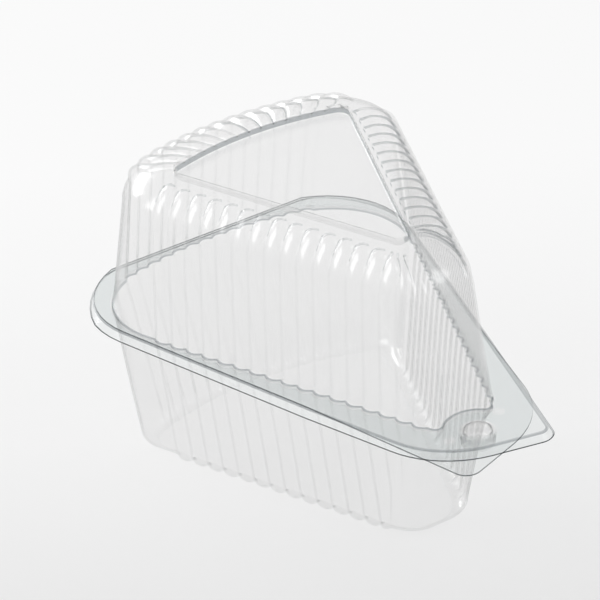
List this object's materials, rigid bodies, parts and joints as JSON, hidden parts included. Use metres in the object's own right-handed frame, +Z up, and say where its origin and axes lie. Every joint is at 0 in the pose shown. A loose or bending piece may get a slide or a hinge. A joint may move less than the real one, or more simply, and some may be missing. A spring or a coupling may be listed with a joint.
{
  "type": "hinged cake slice clamshell pack",
  "caption": "Clear wedge-shaped clamshell for a slice of cake: fluted tray and tall fluted lid with sunk top panel, living hinge at the crust end, snap button and finger tabs at the tip.",
  "frame": {"origin": "middle of the bounding box in plan, on the underside of the tray's floor", "axes": "+Z up out of the tray, -Y towards the pointed end with the snap button, +Y towards the hinge at the crust end, X across"},
  "size_m": [0.1262, 0.1898, 0.1097],
  "materials": {
    "clear_film_tray": "clear glossy formed film",
    "clear_film_lid": "clear glossy formed film"
  },
  "bodies": {
    "tray": {"tray": "clear_film_tray"},
    "lid": {"lid": "clear_film_lid"}
  },
  "joints": [
    {"name": "lid_hinge", "type": "hinge", "parent": "tray", "child": "lid", "pos_m": [0, 0.09492, 0.0518], "axis": [-1, 0, 0], "range_deg": [0, 168]}
  ]
}
